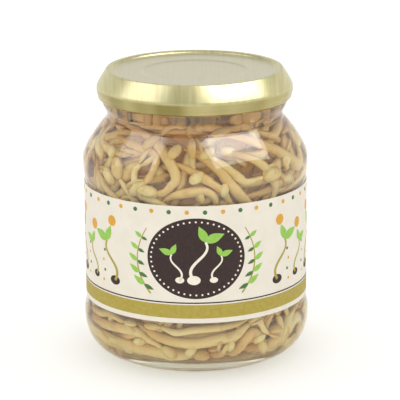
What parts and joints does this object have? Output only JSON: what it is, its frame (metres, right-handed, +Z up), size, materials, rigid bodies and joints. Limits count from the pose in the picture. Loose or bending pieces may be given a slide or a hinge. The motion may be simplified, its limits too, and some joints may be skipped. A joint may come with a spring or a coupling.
{
  "type": "jar of bean sprouts",
  "caption": "Round glass jar packed with bean sprouts in brine, with a paper label round its body and a tinplate lid that twists off and rises on its thread.",
  "frame": {"origin": "middle of the ring that the jar stands on, at table height", "axes": "+Z up along the axis of the jar, towards the lid; -Y towards the viewer, where the middle of the label's front is; +X to the viewer's right"},
  "size_m": [0.0798, 0.0798, 0.1023],
  "materials": {
    "glass": "clear flint glass, moulded, faintly green in its thick edges",
    "label_paper": "matt coated paper, cream, printed",
    "lacquered_tinplate": "pale gold lacquer on pressed tinplate, glossy",
    "sealing_compound": "soft cream compound, matt",
    "brine": "clear pale amber liquid",
    "sprout_flesh": "wet, pale cream to yellow, slightly see-through"
  },
  "bodies": {
    "jar": {"jar_glass": "glass", "label": "label_paper", "brine": "brine", "sprouts": "sprout_flesh"},
    "seal": {"lid_seal": "sealing_compound"},
    "lid": {"lid": "lacquered_tinplate"}
  },
  "joints": [
    {"name": "lid_rise", "type": "slide", "parent": "jar", "child": "seal", "axis": [0, 0, 1], "range_m": [0, 0.00231]},
    {"name": "lid_twist", "type": "hinge", "parent": "seal", "child": "lid", "pos_m": [0, 0, 0.0963], "axis": [0, 0, 1], "range_deg": [0, 66]}
  ],
  "couplings": [
    {"joint": "lid_rise", "follows": "lid_twist", "m_per_rad": 0.002}
  ]
}
